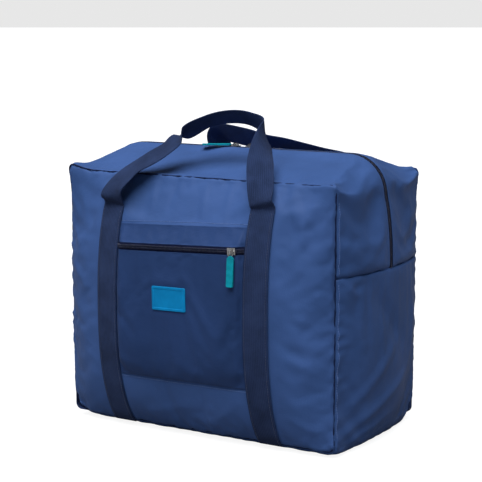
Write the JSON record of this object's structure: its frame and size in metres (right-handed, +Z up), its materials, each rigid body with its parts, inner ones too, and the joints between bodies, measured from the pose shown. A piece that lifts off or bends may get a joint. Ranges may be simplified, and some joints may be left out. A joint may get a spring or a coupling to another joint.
{
  "type": "foldable tote bag",
  "caption": "Large zip-top foldable tote bag in soft woven nylon with a front zip pocket, two webbing carry handles and a bulging gusseted body.",
  "frame": {"origin": "centre of the flat base, on the surface that the bag stands on", "axes": "+Z up, -Y out of the front with the zip pocket, +X to the right seen from the front"},
  "size_m": [0.5042, 0.3714, 0.4824],
  "materials": {
    "nylon": "soft woven nylon with a slight sheen",
    "binding": "woven seam tape",
    "webbing": "flat woven webbing",
    "zip_tape": "knitted zip tape",
    "zip_coil": "nylon coil",
    "nickel": "polished nickel plate",
    "puller": "woven ribbon",
    "label": "soft moulded patch with a raised border"
  },
  "bodies": {
    "bag": {"front_panel": "nylon", "back_panel": "nylon", "top_gusset_front": "nylon", "top_gusset_rear": "nylon", "lower_gusset": "nylon", "seam_binding_front": "binding", "seam_binding_rear": "binding", "top_zip_tape_front": "zip_tape", "top_zip_tape_rear": "zip_tape", "top_zip_coil_front": "zip_coil", "top_zip_coil_rear": "zip_coil", "strap_front_left": "webbing", "strap_front_right": "webbing", "strap_rear_left": "webbing", "strap_rear_right": "webbing", "pocket_panel": "nylon", "pocket_top_band": "nylon", "pocket_zip_tape_lower": "zip_tape", "pocket_zip_tape_upper": "zip_tape", "pocket_zip_coil_lower": "zip_coil", "pocket_zip_coil_upper": "zip_coil", "label_patch": "label"},
    "top_left_slider": {"top_left_slider": "nickel"},
    "top_left_pull": {"top_left_pull_link": "nickel", "top_left_pull_tab": "puller"},
    "top_right_slider": {"top_right_slider": "nickel"},
    "top_right_pull": {"top_right_pull_link": "nickel", "top_right_pull_tab": "puller"},
    "pocket_slider": {"pocket_slider": "nickel"},
    "pocket_link": {"pocket_pull_link": "nickel"},
    "pocket_tab": {"pocket_pull_tab": "puller"},
    "handle_front": {"handle_front": "webbing"},
    "handle_rear": {"handle_rear": "webbing"}
  },
  "joints": [
    {"name": "top_left_zip", "type": "slide", "parent": "bag", "child": "top_left_slider", "axis": [-1, 0, 0], "range_m": [0, 0.137]},
    {"name": "top_left_pull_lift", "type": "hinge", "parent": "top_left_slider", "child": "top_left_pull", "pos_m": [-0.013, 0, 0.4233], "axis": [0, 1, 0], "range_deg": [0, 160]},
    {"name": "top_right_zip", "type": "slide", "parent": "bag", "child": "top_right_slider", "axis": [1, 0, 0], "range_m": [0, 0.137]},
    {"name": "top_right_pull_lift", "type": "hinge", "parent": "top_right_slider", "child": "top_right_pull", "pos_m": [0.013, 0, 0.4233], "axis": [0, -1, 0], "range_deg": [0, 160]},
    {"name": "pocket_zip", "type": "slide", "parent": "bag", "child": "pocket_slider", "axis": [-0.9991, 0, -0.0433], "range_m": [0, 0.185]},
    {"name": "pocket_pull_lift", "type": "hinge", "parent": "pocket_slider", "child": "pocket_link", "pos_m": [0.093, -0.1846, 0.29303], "axis": [-0.9991, 0, -0.0433], "range_deg": [0, 170]},
    {"name": "pocket_tab_swing", "type": "hinge", "parent": "pocket_link", "child": "pocket_tab", "pos_m": [0.093, -0.18532, 0.28717], "axis": [0, -0.9925, 0.1219], "range_deg": [-30, 30]},
    {"name": "handle_front_swing", "type": "hinge", "parent": "bag", "child": "handle_front", "pos_m": [0, -0.157, 0.35], "axis": [0.9992, 0, 0.041], "range_deg": [0, 150]},
    {"name": "handle_rear_swing", "type": "hinge", "parent": "bag", "child": "handle_rear", "pos_m": [0, 0.157, 0.35], "axis": [-1, 0, 0], "range_deg": [0, 150]}
  ]
}
